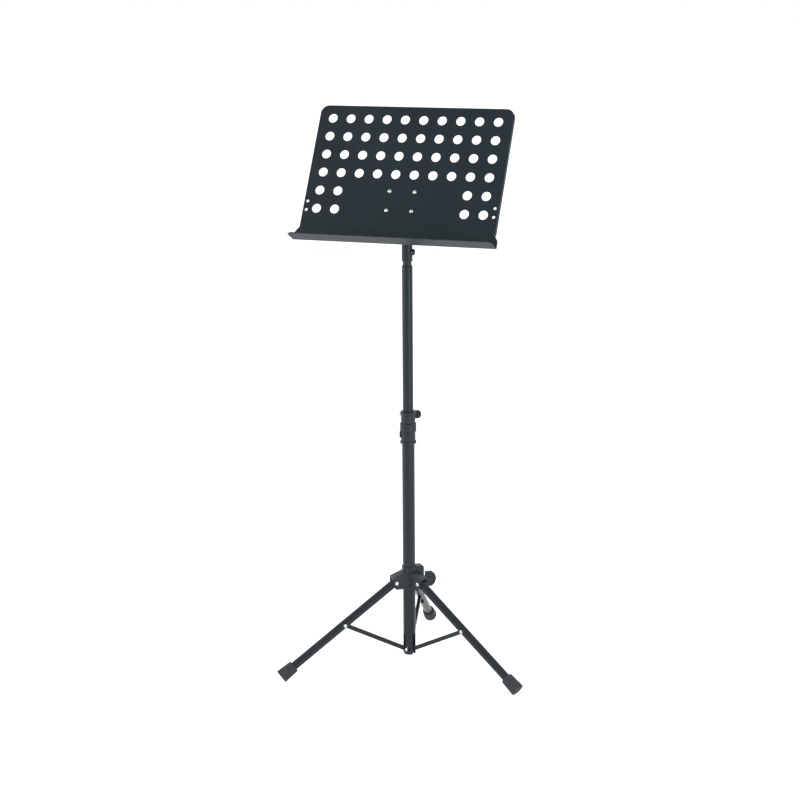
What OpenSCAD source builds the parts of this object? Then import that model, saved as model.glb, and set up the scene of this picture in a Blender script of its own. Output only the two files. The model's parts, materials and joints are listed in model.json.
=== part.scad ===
/* [Desk] */
// Width of the desk between its side flanges
desk_w = 474; // [420:1:560]
// Height of the desk along its slope, from the shelf bend to the top edge
desk_h = 338; // [320:1:400]
// Thickness of the desk sheet
sheet = 1.2; // [1:0.1:2]
// Depth of the flange turned back round the desk
flange_d = 12; // [8:1:18]
// Radius of the two top corners
corner_r = 20; // [12:1:30]
// How far the bottom band stands out past each side
band_out = 9; // [4:1:14]
// Height of the bottom band
band_h = 22; // [14:1:30]
// Depth of the shelf, front to back
shelf_d = 45; // [35:1:60]
// Chamfer on the shelf's front corners
shelf_chamfer = 8; // [3:1:14]
// Width of the hem folded over the shelf's front edge
hem_w = 6; // [4:1:10]
// Outer radius of the bend between desk and shelf
bend_r = 3.2; // [2.2:0.1:4]
// Angle that the desk leans back from upright
desk_lean = 28.6; // [10:0.1:50]

/* [Hole pattern] */
// Diameter of the large holes
hole_d = 22; // [14:0.5:30]
// Pitch of the large holes, both ways
hole_pitch = 45; // [34:0.5:46]
// Number of holes in a full row
hole_cols = 10; // [10]
// Rows of holes that run right across
full_rows = 4; // [4]
// Rows that keep only their two outer holes on each side
short_rows = 2; // [2]
// Distance of the top row from the top edge
top_row_drop = 33.5; // [24:0.5:50]
// Diameter of the small accessory holes near the side edges
small_hole_d = 7; // [4:0.5:8]
// Distance of the small holes from the side flange
small_hole_inset = 9.5; // [8:0.5:12]
// Spacing of the small holes in each pair
small_hole_pitch = 21; // [14:0.5:30]
// Height of the lower small hole above the shelf bend
small_hole_up = 75.5; // [60:0.5:90]

/* [Desk bracket] */
// Height of the bracket's centre above the shelf bend
bracket_up = 104.8; // [95:0.1:115]
// Distance of the tilt axis behind the desk's front face
tilt_back = 48; // [42:0.5:60]
// Spacing of the bracket screws across the desk
screw_dx = 61; // [50:0.5:70]
// Spacing of the bracket screws up the desk
screw_dz = 47; // [40:0.5:52]
// Diameter of the bracket screws
screw_d = 5; // [4:0.5:6]
// Thickness of the bracket's plate and ears
bracket_t = 2.5; // [2:0.1:3]
// Diameter of the tilt bolt
tilt_bolt_d = 8; // [6:0.5:8]
// Thickness of the friction washers at the tilt joint
washer_t = 1.5; // [1:0.1:2]

/* [Pole] */
// Outer diameter of the upper tube and of the desk post
upper_d = 25; // [22:0.5:25.4]
// Outer diameter of the lower tube
lower_d = 30; // [29:0.5:32]
// Wall of every pole tube
tube_wall = 1.5; // [1.2:0.1:2]
// Length of the upper tube
upper_len = 546; // [500:1:600]
// Length of the upper tube that stands out of the clutch
upper_out = 342.7; // [320:0.1:400]
// Length of the lower tube
lower_len = 554; // [500:1:600]
// Height of the pole's lower end above the floor
pole_gap = 30; // [24:1:40]
// Length of the desk post's tube
post_len = 96.5; // [90:0.5:120]
// Length of the waisted neck between post and upper tube
neck_len = 10; // [6:1:16]
// Diameter of that neck
neck_d = 20.6; // [18:0.1:20.6]
// Length of the spigot inside the desk post
spigot_len = 52; // [48:1:56]
// Heading of the clutch's bolt, from +X
clutch_heading = 18; // [0:1:40]

/* [Tripod] */
// Heading of the rear leg, from +X
leg_heading = 101; // [90:1:110]
// Length of a leg from its hub pin to the end of its foot
leg_len = 352; // [330:1:400]
// Slope of a leg below the level
leg_slope = 34.7; // [30:0.1:40]
// Outer diameter of the leg tubes
leg_d = 20; // [18:0.5:22]
// Wall of the leg tubes
leg_wall = 1.5; // [1.2:0.1:2]
// Distance of the hub pins from the pole's axis
hub_pin_r = 35.7; // [35:0.1:40]
// Distance along a leg from its hub pin to its brace pin
brace_at = 158.9; // [150:0.1:170]
// Distance of the brace anchors from the pole's axis
anchor_r = 11; // [10.5:0.1:12]
// Height of the brace anchors above the pole's lower end
anchor_up = 12.7; // [10:0.1:15]
// Height of a brace bar
brace_h = 10; // [8:0.5:11]
// Width of a brace bar
brace_w = 8; // [6:0.5:9]
// Largest diameter of the rubber feet
foot_d = 33; // [29:0.5:34]
// Diameter of a foot at its upper end
foot_top_d = 29; // [26:0.5:31]
// Length of a foot
foot_len = 40; // [32:1:50]
// Angle from upright that the legs reach when folded
folded_angle = 6; // [6:0.5:12]

/* [Hidden] */
$fn = 64;

black_coat = "#2b3338";
black_abs = "#30383b";
zinc = "#c8ccce";
rubber = "#3c4245";

// clearances shared by what fits together
run_gap = 0.05;          // radial gap of a pin or a pushed-in plug
slide_gap = 0.1;         // radial gap of a tube that slides
side_gap = 0.3;          // side gap of a part that swings in a slot
eps = 1;                 // overlap of a cutting solid past a face

// tripod geometry, from the floor up
foot_r = foot_d / 2;
hub_pin_z = leg_len * sin(leg_slope) + foot_r * cos(leg_slope);
anchor_z = pole_gap + anchor_up;
brace_pin_r = hub_pin_r + brace_at * cos(leg_slope);
brace_pin_z = hub_pin_z - brace_at * sin(leg_slope);
brace_len = norm([brace_pin_r - anchor_r, brace_pin_z - anchor_z]);
brace_slope = atan2(brace_pin_z - anchor_z, brace_pin_r - anchor_r);
// folded: legs near upright, braces swung up beside the pole, hub raised by fold_travel
folded_run = hub_pin_r + brace_at * sin(folded_angle) - anchor_r;
folded_rise = sqrt(brace_len * brace_len - folded_run * folded_run);
fold_travel = anchor_z + folded_rise + brace_at * cos(folded_angle) - hub_pin_z;
folded_brace_slope = atan2(folded_rise, folded_run);
LEG_TURNS = [0, 120, 240];

// hub
hub_wall = 2.05;
hub_bore_d = lower_d + 2 * slide_gap;
hub_collar_d = hub_bore_d + 2 * hub_wall;
hub_cheek = 2.7;
hub_arm_w = leg_d + 2 * side_gap + 2 * hub_cheek;
hub_arm_reach = hub_pin_r + 9.3;
// the arms' inner corners end inside the collar's wall
hub_arm_root = sqrt(pow(hub_bore_d / 2 + hub_wall / 2, 2) - pow(hub_arm_w / 2, 2));
hub_low = hub_pin_z - 16;
hub_collar_low = hub_low - 2;
boss_low = hub_low + 3;
hub_high = hub_pin_z + 38;
hub_shoulder = hub_pin_z + 25.5;
hub_arm_top = hub_pin_z + 14;
leg_overhang = 8;
leg_end_sweep = norm([leg_overhang, leg_d / 2]) + 2 * side_gap;
hub_pin_d = 6;
hub_pin_head_d = 9;
hub_pin_head_t = 1.2;
knob_turn = leg_heading - 60;
boss_w = 20;
boss_reach = lower_d / 2 + 19.5;
boss_top = hub_pin_z + 37;
hub_screw_z = hub_pin_z - 1;
hub_screw_d = 8;
hub_nut_af = 13;
hub_nut_t = 6.5;
hub_nut_corner = hub_nut_af / 2 / cos(30) + slide_gap;
hub_nut_r = boss_reach - hub_nut_t - 4;
shoe_d = 10;
shoe_t = 3.4;
shoe_face_r = lower_d / 2 + side_gap;
hub_knob_r = boss_reach + 7;
hub_knob_len = 26.5;
hub_knob_h = 37;
hub_knob_t = 8;
hub_knob_bore = 18;

// braces and their pins
brace_wall = 1.5;
brace_slot_w = brace_w + 2 * side_gap;
brace_pin_d = 5;
brace_pin_head_d = 9;
brace_pin_head_t = 2.4;
anchor_pin_d = 4;
anchor_head_d = 8;
anchor_head_t = 1.6;
// the anchor rivets' heads sit in spot faces this far out from the leg's plane
anchor_sink = 0.6;
anchor_seat = sqrt(lower_d * lower_d / 4 - anchor_r * anchor_r) - anchor_sink;
// a brace swings between these two angles off its leg, so its slot in the leg is this long
brace_open = leg_slope + brace_slope;
brace_fold_gap = 90 + folded_angle - folded_brace_slope;
brace_slot_back = (leg_d / 2) / tan(brace_open) + (brace_h / 2) / sin(brace_open) + 2;
brace_slot_fore = (leg_d / 2 + (brace_h / 2) / cos(brace_fold_gap)) / tan(brace_fold_gap) + 3;
// thickness of a foot's floor
foot_floor = 8;
// the folded brace's upper edge leaves the pole at this height
brace_slot_top = anchor_z + (brace_h / 2) / cos(folded_brace_slope)
    + (lower_d / 2 - anchor_r) * tan(folded_brace_slope) + 2;

// pole, from its lower end up
pole_foot_rim = 18;
plug_d = lower_d - 2 * tube_wall - 2 * run_gap;
lower_z = pole_gap + pole_foot_rim;
lower_top = lower_z + lower_len;
clutch_seat = 47.5;
clutch_z = lower_top - clutch_seat;
clutch_h = 77.2;
clutch_top = clutch_z + clutch_h;
upper_top = clutch_top + upper_out;
upper_z = upper_top - upper_len;
upper_id = upper_d - 2 * tube_wall;
upper_plug_d = upper_id - 2 * run_gap;
bush_h = 12;
bush_plug_h = 20;
collar_h = 4;
neck_z = upper_top + collar_h;
post_z = neck_z + neck_len;
post_top = post_z + post_len;
spigot_top = post_z + spigot_len;
tilt_head_rise = 24;
tilt_z = post_top + tilt_head_rise;
post_screw_z = post_z + 21.5;
post_screw_d = 6;
post_bush_d = 10;
post_bush_rim = 1;
// fluted head of the post's locking screw
post_head_d = 15;
post_head_t = 3.2;
post_head_dome = 2.2;
flutes = 12;
flute_d = 2.4;

// clutch
clutch_lip = 2.7;
liner_t = 1.9;
liner_d = upper_d + 2 * run_gap + 2 * liner_t;
clutch_wall_d = lower_d + 4.4;
clutch_band_d = lower_d + 8.8;
clutch_rim_d = lower_d + 7;
clutch_bolt_z = clutch_top - 11.5;
clutch_bolt_d = 6;
clutch_bolt_out = liner_d / 2 + clutch_bolt_d / 2 + 1.5;
clutch_ear_half = 17;
clutch_split = 2;
clutch_ear_h = 18;
clutch_nut_af = 10;
clutch_nut_t = 4;
clutch_knob_w = 13;
clutch_knob_h = 19;
clutch_knob_t = 7;

// tilt joint
head_w = upper_d;
ear_in = head_w / 2 + washer_t;
ear_out = ear_in + bracket_t;
ear_r = 13;
bracket_w = screw_dx + 20;
bracket_h = screw_dz + 18;
bracket_corner_r = 8;
tilt_boss_d = 21;
tilt_nut_af = 13;
tilt_nut_t = 6.5;
washer_d = 22;
screw_nut_af = 8;
screw_nut_t = 4;

// ---------------------------------------------------------------- placing
// desk pieces are drawn upright with the front face on y = 0 and the shelf bend at z = 0
module in_desk() {
    translate([0, 0, tilt_z]) rotate([-desk_lean, 0, 0]) translate([0, -tilt_back, -bracket_up]) children();
}

// leg pieces are drawn with x outward from the pole's axis
module in_leg_plane(i) {
    rotate([0, 0, leg_heading + LEG_TURNS[i]]) children();
}

// along a leg: x runs from the hub pin to the foot
module along_leg(i) {
    in_leg_plane(i) translate([hub_pin_r, 0, hub_pin_z]) rotate([0, leg_slope, 0]) children();
}

// along a brace: x runs from the anchor to the leg
module along_brace(i) {
    in_leg_plane(i) translate([anchor_r, 0, anchor_z]) rotate([0, -brace_slope, 0]) children();
}

module in_clutch() {
    rotate([0, 0, clutch_heading]) translate([0, clutch_bolt_out, clutch_bolt_z]) children();
}

module in_hub_boss() {
    rotate([0, 0, knob_turn]) translate([0, 0, hub_screw_z]) children();
}

// ---------------------------------------------------------------- shared shapes
// cylinder along x from x0 to x1
module rod_x(x0, x1, d) {
    translate([x0, 0, 0]) rotate([0, 90, 0]) cylinder(h = x1 - x0, d = d);
}

// cylinder along y from y0 to y1
module rod_y(y0, y1, d) {
    translate([0, y1, 0]) rotate([90, 0, 0]) cylinder(h = y1 - y0, d = d);
}

// tube along x from x0 to x1
module tube_x(x0, x1, d, wall) {
    difference() {
        rod_x(x0, x1, d);
        rod_x(x0 - eps, x1 + eps, d - 2 * wall);
    }
}

module tube_z(z0, z1, d, wall) {
    translate([0, 0, z0]) difference() {
        cylinder(h = z1 - z0, d = d);
        translate([0, 0, -eps]) cylinder(h = z1 - z0 + 2 * eps, d = d - 2 * wall);
    }
}

// hexagonal nut along x with its lower face at x = 0
module nut_x(af, t, bore_d) {
    rotate([0, 90, 0]) difference() {
        cylinder(h = t, d = af / cos(30), $fn = 6);
        translate([0, 0, -eps]) cylinder(h = t + 2 * eps, d = bore_d);
    }
}

// domed head along x: a short cylinder with a lens on it
module dome_x(d, t) {
    ball_r = (d * d / 4 + t * t) / (2 * t);
    rotate([0, 90, 0]) rotate_extrude() intersection() {
        translate([0, t - ball_r]) circle(r = ball_r);
        square([d / 2, t]);
    }
}

// ---------------------------------------------------------------- desk
// outline of the desk above its bottom band, inset all round by a wall
module pan_outline(inset) {
    half = desk_w / 2 - inset;
    r = corner_r - inset;
    top = desk_h - inset;
    translate([-half, band_h]) square([2 * half, top - r - band_h]);
    translate([-half + r, top - r - eps]) square([2 * (half - r), r + eps]);
    for (side = [-1, 1]) translate([side * (half - r), top - r]) circle(r = r);
}

// the bottom band flares out to its full width below the side flanges
module band_outline() {
    half = desk_w / 2;
    polygon([[-half, band_h + 8], [-half - band_out + 1, band_h - 1], [-half - band_out, band_h - 5],
        [-half - band_out, bend_r], [half + band_out, bend_r], [half + band_out, band_h - 5],
        [half + band_out - 1, band_h - 1], [half, band_h + 8]]);
}

module large_holes() {
    for (row = [0 : full_rows + short_rows - 1], col = [0 : hole_cols - 1])
        if (row < full_rows || col < 2 || col >= hole_cols - 2)
            translate([(col - (hole_cols - 1) / 2) * hole_pitch, desk_h - top_row_drop - row * hole_pitch])
                circle(d = hole_d);
}

module small_holes() {
    for (side = [-1, 1], k = [0, 1])
        translate([side * (desk_w / 2 - small_hole_inset), small_hole_up + k * small_hole_pitch])
            circle(d = small_hole_d);
}

module bracket_screw_points() {
    for (sx = [-1, 1], sz = [-1, 1])
        translate([sx * screw_dx / 2, 0, bracket_up + sz * screw_dz / 2]) children();
}

module desk_face() {
    translate([0, sheet, 0]) rotate([90, 0, 0]) linear_extrude(sheet) difference() {
        union() {
            pan_outline(0);
            band_outline();
        }
        large_holes();
        small_holes();
        translate([0, bracket_up])
            for (sx = [-1, 1], sz = [-1, 1])
                translate([sx * screw_dx / 2, sz * screw_dz / 2]) circle(d = screw_d + 2 * slide_gap);
    }
}

// flange turned back round the sides and top, stopping above the flare
module desk_flange() {
    translate([0, flange_d, 0]) rotate([90, 0, 0]) linear_extrude(flange_d) difference() {
        pan_outline(0);
        pan_outline(sheet);
        translate([-desk_w, 0]) square([2 * desk_w, band_h + 10]);
    }
}

module desk_shelf() {
    half = desk_w / 2 + band_out;
    back = sheet - bend_r;
    linear_extrude(sheet) polygon([[-half, back], [half, back], [half, -shelf_d + shelf_chamfer],
        [half - shelf_chamfer, -shelf_d], [-half + shelf_chamfer, -shelf_d],
        [-half, -shelf_d + shelf_chamfer]]);
    translate([-half + shelf_chamfer, -shelf_d, sheet])
        cube([2 * (half - shelf_chamfer), hem_w, sheet]);
}

// quarter bend that joins face and shelf
module desk_bend() {
    half = desk_w / 2 + band_out;
    translate([0, sheet - bend_r, bend_r]) intersection() {
        difference() {
            rod_x(-half, half, 2 * bend_r);
            rod_x(-half - eps, half + eps, 2 * (bend_r - sheet));
        }
        translate([-half, 0, -bend_r]) cube([2 * half, bend_r, bend_r]);
    }
}

module desk_plate() {
    color(black_coat) in_desk() {
        desk_face();
        desk_flange();
        desk_shelf();
        desk_bend();
    }
}

// U bracket behind the desk: a plate with two ears that carry the tilt bolt
module bracket_ear(x) {
    translate([x, sheet, bracket_up]) rotate([90, 0, 90]) linear_extrude(bracket_t) difference() {
        union() {
            polygon([[0, -bracket_h / 2 + 6], [0, bracket_h / 2 - 6], [tilt_back - sheet, ear_r],
                [tilt_back - sheet, -ear_r]]);
            translate([tilt_back - sheet, 0]) circle(r = ear_r);
        }
        translate([tilt_back - sheet, 0]) circle(d = tilt_bolt_d + 2 * run_gap);
    }
}

module desk_bracket() {
    color(black_coat) in_desk() {
        difference() {
            translate([0, sheet + bracket_t, bracket_up]) rotate([90, 0, 0]) linear_extrude(bracket_t) {
                square([bracket_w - 2 * bracket_corner_r, bracket_h], center = true);
                square([bracket_w, bracket_h - 2 * bracket_corner_r], center = true);
                for (sx = [-1, 1], sz = [-1, 1])
                    translate([sx * bracket_w / 2, sz * bracket_h / 2])
                        translate([-sx * bracket_corner_r, -sz * bracket_corner_r])
                            circle(r = bracket_corner_r);
            }
            bracket_screw_points() rod_y(0, 3 * bracket_t, screw_d + 2 * slide_gap);
        }
        bracket_ear(ear_in);
        bracket_ear(-ear_out);
    }
}

module bracket_screws() {
    color(zinc) in_desk() bracket_screw_points() {
        rotate([0, 0, -90]) dome_x(screw_d * 1.9, screw_d * 0.52);
        rod_y(0, sheet + bracket_t + screw_nut_t + 3, screw_d);
    }
}

module bracket_nuts() {
    color(zinc) in_desk() bracket_screw_points()
        translate([0, sheet + bracket_t, 0]) rotate([0, 0, 90]) nut_x(screw_nut_af, screw_nut_t, screw_d);
}

module in_tilt() {
    translate([0, 0, tilt_z]) children();
}

module tilt_bolt() {
    color(zinc) in_tilt() {
        rod_x(-ear_out, ear_out + tilt_nut_t + 2.5, tilt_bolt_d);
        translate([-ear_out, 0, 0]) rotate([0, 0, 180]) dome_x(tilt_bolt_d * 2, tilt_bolt_d * 0.56);
    }
}

module tilt_nut() {
    color(zinc) in_tilt() translate([ear_out, 0, 0]) {
        nut_x(tilt_nut_af, tilt_nut_t, tilt_bolt_d);
    }
}

module tilt_washers() {
    color(rubber) in_tilt()
        for (side = [0, 1]) mirror([side, 0, 0]) difference() {
            rod_x(head_w / 2, ear_in, washer_d);
            rod_x(head_w / 2 - eps, ear_in + eps, tilt_bolt_d);
        }
}

// block pressed into the post's top, carrying the tilt bolt
module tilt_head() {
    color(black_coat) difference() {
        union() {
            translate([0, 0, spigot_top]) cylinder(h = post_top - spigot_top, d = upper_plug_d);
            translate([0, 0, post_top]) cylinder(h = 6, d = upper_d);
            translate([-head_w / 2, -tilt_boss_d / 2, post_top + 4])
                cube([head_w, tilt_boss_d, tilt_head_rise - 4]);
            in_tilt() rod_x(-head_w / 2, head_w / 2, tilt_boss_d);
        }
        in_tilt() rod_x(-head_w, head_w, tilt_bolt_d + 2 * run_gap);
    }
}

module desk_post() {
    color(black_coat) difference() {
        tube_z(post_z, post_top, upper_d, tube_wall);
        translate([0, 0, post_screw_z]) rod_x(0, upper_d, post_bush_d);
    }
}

// rivet nut that gives the locking screw its thread
module post_bush() {
    color(zinc) translate([0, 0, post_screw_z]) difference() {
        union() {
            rod_x(upper_id / 2 + side_gap, upper_d / 2 + post_bush_rim / 2, post_bush_d);
            rod_x(upper_d / 2, upper_d / 2 + post_bush_rim, post_bush_d + 2);
        }
        rod_x(0, upper_d, post_screw_d + 2 * run_gap);
    }
}

module post_screw() {
    head_x = upper_d / 2 + post_bush_rim + side_gap;
    color(black_abs) translate([0, 0, post_screw_z]) {
        rod_x(upper_id / 2 + side_gap, head_x, post_screw_d);
        difference() {
            union() {
                rod_x(head_x, head_x + post_head_t, post_head_d);
                translate([head_x + post_head_t, 0, 0]) dome_x(post_head_d, post_head_dome);
            }
            for (k = [0 : flutes - 1]) rotate([k * 360 / flutes, 0, 0])
                translate([0, 0, post_head_d / 2 + flute_d / 4])
                    rod_x(head_x - eps, head_x + post_head_t + post_head_dome + eps, flute_d);
        }
    }
}

// ---------------------------------------------------------------- pole
// turned plug: pressed in the upper tube, waisted neck, spigot for the desk post
module pole_spigot() {
    shank = 45;
    round_r = 2.2;
    tip_chamfer = 2;
    color(black_abs) rotate_extrude() {
        translate([0, upper_top - shank]) square([upper_plug_d / 2, shank]);
        translate([0, upper_top]) square([upper_d / 2, collar_h - round_r]);
        translate([0, upper_top]) square([upper_d / 2 - round_r, collar_h]);
        translate([upper_d / 2 - round_r, neck_z - round_r]) circle(r = round_r, $fn = 48);
        translate([0, neck_z - eps]) square([neck_d / 2, neck_len + 3]);
        translate([0, post_z + 2]) polygon([[0, 0], [neck_d / 2, 0], [upper_plug_d / 2, 0.7],
            [upper_plug_d / 2, spigot_len - 4],
            [upper_plug_d / 2 - tip_chamfer, spigot_len - 2], [0, spigot_len - 2]]);
    }
}

module upper_tube() {
    color(black_coat) tube_z(upper_z, upper_top, upper_d, tube_wall);
}

// plastic bush that guides the upper tube inside the lower one
module guide_bush() {
    bore = upper_id - 6;
    color(black_abs) difference() {
        union() {
            translate([0, 0, upper_z - bush_h]) cylinder(h = bush_h, d = plug_d - 2 * run_gap);
            translate([0, 0, upper_z]) cylinder(h = bush_plug_h, d = upper_plug_d);
        }
        translate([0, 0, upper_z - bush_h - eps]) cylinder(h = bush_h + bush_plug_h + 2 * eps, d = bore);
    }
}

module lower_tube() {
    color(black_coat) difference() {
        tube_z(lower_z, lower_top, lower_d, tube_wall);
        translate([0, 0, lower_z - eps]) linear_extrude(brace_slot_top - lower_z + eps) brace_slot_star();
    }
}

// plan of the three slots in which the braces swing, meeting on the pole's axis
module brace_slot_star() {
    for (turn = LEG_TURNS) rotate(leg_heading + turn)
        translate([-brace_slot_w / 4, -brace_slot_w / 2]) square([lower_d, brace_slot_w]);
}

// plug in the pole's lower end: a cap with three claws between the brace slots
module pole_foot() {
    color(black_abs) difference() {
        union() {
            translate([0, 0, pole_gap]) cylinder(h = pole_foot_rim, d = lower_d);
            translate([0, 0, lower_z]) cylinder(h = brace_slot_top + 14 - lower_z, d = plug_d);
        }
        translate([0, 0, pole_gap - eps]) linear_extrude(brace_slot_top - pole_gap + eps) brace_slot_star();
        for (i = [0 : 2]) in_leg_plane(i) translate([anchor_r, 0, anchor_z]) {
            rod_y(-lower_d, lower_d, anchor_pin_d);
            rod_y(-lower_d, -anchor_seat, anchor_head_d + 2 * slide_gap);
        }
    }
}

// rivet stubs on both sides of each brace slot, headed on one side
module anchor_rivets() {
    color(zinc) for (i = [0 : 2]) in_leg_plane(i) translate([anchor_r, 0, anchor_z]) {
        rod_y(brace_slot_w / 2, anchor_seat + anchor_sink, anchor_pin_d);
        rod_y(-anchor_seat, -brace_slot_w / 2, anchor_pin_d);
        translate([0, -anchor_seat, 0]) rotate([0, 0, -90]) dome_x(anchor_head_d, anchor_head_t);
    }
}

// ---------------------------------------------------------------- clutch
module clutch_profile() {
    wall = clutch_wall_d / 2;
    band = clutch_band_d / 2;
    rim = clutch_rim_d / 2;
    polygon([[0, 0], [band - 1, 0], [band, 1], [band, 5.5], [wall, 8], [wall, 27.5], [band, 29.5],
        [band, 48.5], [wall - 0.2, 50.5], [wall - 0.2, 69], [rim, 71], [rim, clutch_h - 1.2],
        [rim - 1.2, clutch_h], [0, clutch_h]]);
}

module clutch_body() {
    color(black_abs) difference() {
        union() {
            translate([0, 0, clutch_z]) rotate_extrude() clutch_profile();
            in_clutch() translate([-clutch_ear_half, -clutch_bolt_out + 8, -clutch_ear_h / 2])
                cube([2 * clutch_ear_half, clutch_bolt_out, clutch_ear_h]);
            rotate([0, 0, clutch_heading + 180]) translate([0, -5, clutch_z + 14])
                cube([clutch_band_d / 2 + 1.1, 10, 15]);
        }
        translate([0, 0, clutch_z - eps]) cylinder(h = clutch_seat + eps, d = lower_d + 2 * run_gap);
        translate([0, 0, lower_top - eps])
            cylinder(h = clutch_top - clutch_lip - lower_top + eps, d = liner_d + 2 * run_gap);
        translate([0, 0, clutch_z]) cylinder(h = clutch_h + eps, d = upper_d + 2 * side_gap);
        in_clutch() {
            rod_x(-2 * clutch_ear_half, 2 * clutch_ear_half, clutch_bolt_d);
            translate([-clutch_split / 2, -clutch_bolt_out, -clutch_ear_h])
                cube([clutch_split, 3 * clutch_bolt_out, 2 * clutch_ear_h]);
        }
    }
}

// split plastic sleeve that grips the upper tube when the clutch closes
module clutch_liner() {
    color(rubber) difference() {
        tube_z(lower_top, clutch_top - clutch_lip, liner_d, liner_t);
        rotate([0, 0, clutch_heading]) translate([-clutch_split / 2, 0, lower_top - eps])
            cube([clutch_split, liner_d, clutch_h]);
    }
}

module clutch_bolt() {
    color(zinc) in_clutch() {
        rod_x(-clutch_ear_half - clutch_nut_t - 1, clutch_ear_half + clutch_knob_w - 3,
            clutch_bolt_d - 2 * run_gap);
    }
}

module clutch_nut() {
    color(zinc) in_clutch() translate([-clutch_ear_half, 0, 0]) rotate([0, 0, 180])
        nut_x(clutch_nut_af, clutch_nut_t, clutch_bolt_d);
}

// flat wing with a rounded outer edge: used by both clamp knobs, drawn along x
module wing(len, height, thick, hub_d, hub_len, bore_d, bore_len) {
    edge_r = height * 0.56;
    difference() {
        union() {
            translate([0, thick / 2, 0]) rotate([90, 0, 0]) linear_extrude(thick) intersection() {
                translate([len - edge_r, 0]) circle(r = edge_r);
                translate([0, -height / 2]) square([len, height]);
            }
            rod_x(0, hub_len, hub_d);
        }
        rod_x(-eps, bore_len, bore_d);
    }
}

module clutch_knob() {
    color(black_abs) in_clutch() translate([clutch_ear_half + side_gap, 0, 0])
        wing(clutch_knob_w, clutch_knob_h, clutch_knob_t, 11, 6, clutch_bolt_d - 2 * run_gap,
            clutch_knob_w - 3 - side_gap);
}

// ---------------------------------------------------------------- hub
module hub_arm() {
    half = hub_arm_w / 2;
    translate([0, half, 0]) rotate([90, 0, 0]) linear_extrude(hub_arm_w)
        polygon([[hub_arm_root, hub_low], [hub_pin_r + 1, hub_low], [hub_arm_reach, hub_low + 8],
            [hub_arm_reach, hub_arm_top], [lower_d / 2, hub_shoulder], [hub_arm_root, hub_shoulder]]);
}

// room for a leg to swing from its spread to its folded place
module hub_arm_slot() {
    half = leg_d / 2 + side_gap;
    inner = hub_pin_r - leg_end_sweep;
    translate([0, half, 0]) rotate([90, 0, 0]) linear_extrude(2 * half) {
        translate([hub_pin_r, hub_pin_z]) circle(r = leg_end_sweep);
        translate([inner, hub_low - eps]) square([2 * hub_arm_reach, hub_pin_z - hub_low + eps]);
        translate([hub_pin_r, hub_pin_z]) rotate(-leg_slope) translate([0, -leg_d])
            square([2 * leg_d, leg_d * 1.5 + side_gap]);
    }
}

// boss for the clamp screw, its outer top corner rounded
module hub_boss() {
    round_r = 5;
    rotate([0, 0, knob_turn]) translate([0, boss_w / 2, 0]) rotate([90, 0, 0]) linear_extrude(boss_w)
        polygon(concat([[hub_bore_d / 4, boss_low], [boss_reach, boss_low]],
            [for (a = [0 : 15 : 90])
                [boss_reach - round_r + round_r * cos(a), boss_top - round_r + round_r * sin(a)]],
            [[hub_bore_d / 4, boss_top]]));
}

module hub_body() {
    color(black_abs) difference() {
        union() {
            translate([0, 0, hub_collar_low]) cylinder(h = hub_high - hub_collar_low, d = hub_collar_d);
            for (i = [0 : 2]) in_leg_plane(i) hub_arm();
            hub_boss();
        }
        translate([0, 0, hub_collar_low - eps])
            cylinder(h = hub_high - hub_collar_low + 2 * eps, d = hub_bore_d);
        for (i = [0 : 2]) in_leg_plane(i) {
            hub_arm_slot();
            translate([hub_pin_r, 0, hub_pin_z]) rod_y(-hub_arm_w, hub_arm_w, hub_pin_d);
        }
        in_hub_boss() {
            rod_x(0, boss_reach + eps, hub_screw_d + 2 * run_gap);
            rod_x(0, shoe_face_r + shoe_t + 1, shoe_d + 4 * run_gap);
            translate([hub_nut_r, -hub_nut_af / 2 - run_gap, -hub_pin_z])
                cube([hub_nut_t + run_gap, hub_nut_af + 2 * run_gap, hub_pin_z + hub_nut_corner]);
        }
    }
}

// rivets on which the legs swing
module hub_pins() {
    half = hub_arm_w / 2;
    color(zinc) for (i = [0 : 2]) in_leg_plane(i) translate([hub_pin_r, 0, hub_pin_z]) {
        rod_y(-half, half, hub_pin_d);
        for (side = [-1, 1]) translate([0, side * half, 0]) rotate([0, 0, side * 90])
            dome_x(hub_pin_head_d, hub_pin_head_t);
    }
}

module hub_nut() {
    color(zinc) in_hub_boss() translate([hub_nut_r, 0, 0])
        nut_x(hub_nut_af, hub_nut_t, hub_screw_d + 2 * run_gap);
}

module hub_shoe() {
    color(rubber) in_hub_boss() rod_x(shoe_face_r, shoe_face_r + shoe_t, shoe_d);
}

module hub_bolt() {
    color(zinc) in_hub_boss() rod_x(shoe_face_r + shoe_t + side_gap, hub_knob_r + hub_knob_bore, hub_screw_d);
}

module hub_knob() {
    color(black_abs) in_hub_boss() translate([hub_knob_r, 0, 0])
        wing(hub_knob_len, hub_knob_h, hub_knob_t, 15, 9, hub_screw_d, hub_knob_bore);
}

// ---------------------------------------------------------------- legs
module leg(i) {
    color(black_coat) along_leg(i) difference() {
        tube_x(-leg_overhang, leg_len - foot_floor, leg_d, leg_wall);
        rod_y(-leg_d, leg_d, hub_pin_d + 2 * run_gap);
        translate([brace_at, 0, 0]) {
            rod_y(-leg_d, leg_d, brace_pin_d);
            translate([-brace_slot_back, -brace_slot_w / 2, -leg_d])
                cube([brace_slot_back + brace_slot_fore, brace_slot_w, leg_d]);
        }
    }
}

// rubber foot: a flared cup pushed over the leg's end
module foot(i) {
    start = leg_len - foot_len;
    color(rubber) along_leg(i) difference() {
        translate([start, 0, 0]) rotate([0, 90, 0]) rotate_extrude()
            polygon([[0, 0], [foot_top_d / 2 - 1, 0], [foot_top_d / 2, 1], [foot_r, foot_len],
                [0, foot_len]]);
        rod_x(start - eps, leg_len - foot_floor, leg_d + 2 * run_gap);
    }
}

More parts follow.
